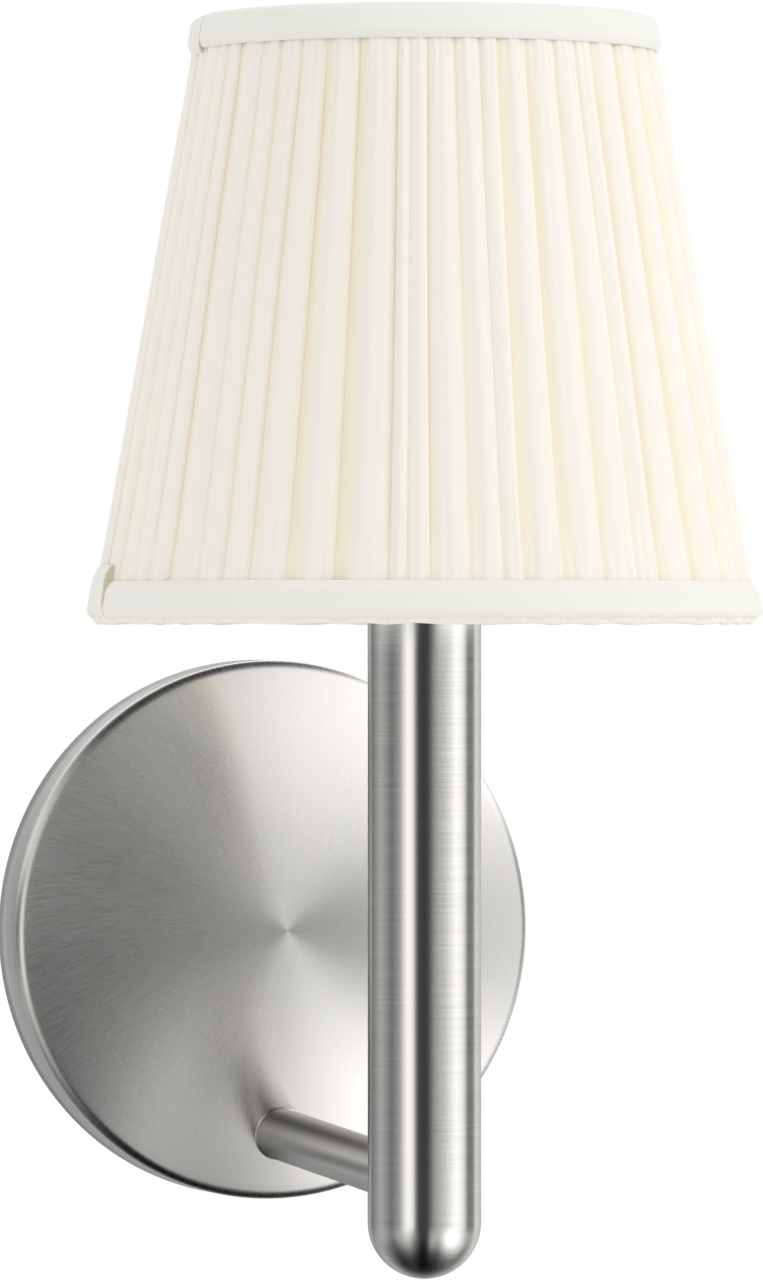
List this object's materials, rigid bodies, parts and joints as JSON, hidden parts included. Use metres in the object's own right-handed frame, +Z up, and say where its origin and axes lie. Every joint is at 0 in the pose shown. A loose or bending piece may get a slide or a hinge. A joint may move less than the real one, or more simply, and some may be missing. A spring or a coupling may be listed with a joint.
{
  "type": "fabric shade wall light",
  "caption": "Wall light with a round domed backplate, a thin arm, a round-ended tube stem and a gathered fabric shade with bound edges.",
  "frame": {"origin": "on the wall, behind the centre of the backplate and midway between the bracket's two slots", "axes": "+Y into the wall, -Y into the room, +X to the right for someone who faces the wall, +Z up"},
  "size_m": [0.1488, 0.1944, 0.2777],
  "materials": {
    "brushed_metal": "fine brushed, satin",
    "zinc_plate": "zinc plated, dull",
    "steel_screw": "nickel plated",
    "brass": "machined",
    "shade_fabric": "gathered plain weave, cream",
    "trim_tape": "bias binding, off-white",
    "lining_film": "translucent film, matt",
    "frame_wire": "white powder coat",
    "holder_plastic": "moulded, satin",
    "block_plastic": "moulded, matt",
    "grommet_rubber": "moulded",
    "wire_brown": "extruded sleeve",
    "wire_blue": "extruded sleeve",
    "wire_green_yellow": "extruded sleeve, striped",
    "bulb_opal": "opal, satin",
    "bulb_plastic": "moulded",
    "bulb_metal": "rolled thread",
    "bulb_black": "vitrified"
  },
  "bodies": {
    "fixture": {"backplate_cover": "brushed_metal", "wall_bracket": "zinc_plate", "cable_grommet": "grommet_rubber", "cover_screws": "steel_screw", "terminal_block": "block_plastic", "terminal_barrels": "brass", "terminal_screws": "steel_screw", "earth_washer": "brass", "earth_tag": "brass", "earth_screw": "brass", "arm_tube": "brushed_metal", "arm_wall_nipple": "zinc_plate", "arm_stem_nipple": "zinc_plate", "arm_saddle_washer": "zinc_plate", "arm_back_nut": "zinc_plate", "stem_tube": "brushed_metal", "stem_bush": "brass", "stem_cap": "brushed_metal", "holder_nipple": "zinc_plate", "nipple_nut": "zinc_plate", "lampholder_base": "holder_plastic", "lampholder_sleeve": "holder_plastic", "lampholder_core": "holder_plastic", "lampholder_screw_shell": "brass", "lampholder_centre_contact": "brass", "live_wire": "wire_brown", "neutral_wire": "wire_blue", "earth_wire": "wire_green_yellow"},
    "shade": {"shade_lining": "lining_film", "pleated_cover": "shade_fabric", "bottom_trim": "trim_tape", "top_trim": "trim_tape", "shade_bottom_ring": "frame_wire", "shade_top_ring": "frame_wire", "shade_fitter_ring": "frame_wire", "shade_fitter_arms": "frame_wire"},
    "retaining_ring": {"shade_retaining_ring": "holder_plastic"},
    "bulb": {"bulb_cap": "bulb_metal", "bulb_insulator": "bulb_black", "bulb_contact": "bulb_metal", "bulb_housing": "bulb_plastic", "bulb_globe": "bulb_opal"}
  },
  "joints": [
    {"name": "shade_turn", "type": "hinge", "parent": "fixture", "child": "shade", "pos_m": [0, -0.12, 0.1108], "axis": [0, 0, 1], "continuous": true},
    {"name": "retaining_ring_turn", "type": "hinge", "parent": "fixture", "child": "retaining_ring", "pos_m": [0, -0.12, 0.1126], "axis": [0, 0, 1], "continuous": true},
    {"name": "bulb_turn", "type": "hinge", "parent": "fixture", "child": "bulb", "pos_m": [0, -0.12, 0.12], "axis": [0, 0, 1], "continuous": true}
  ]
}
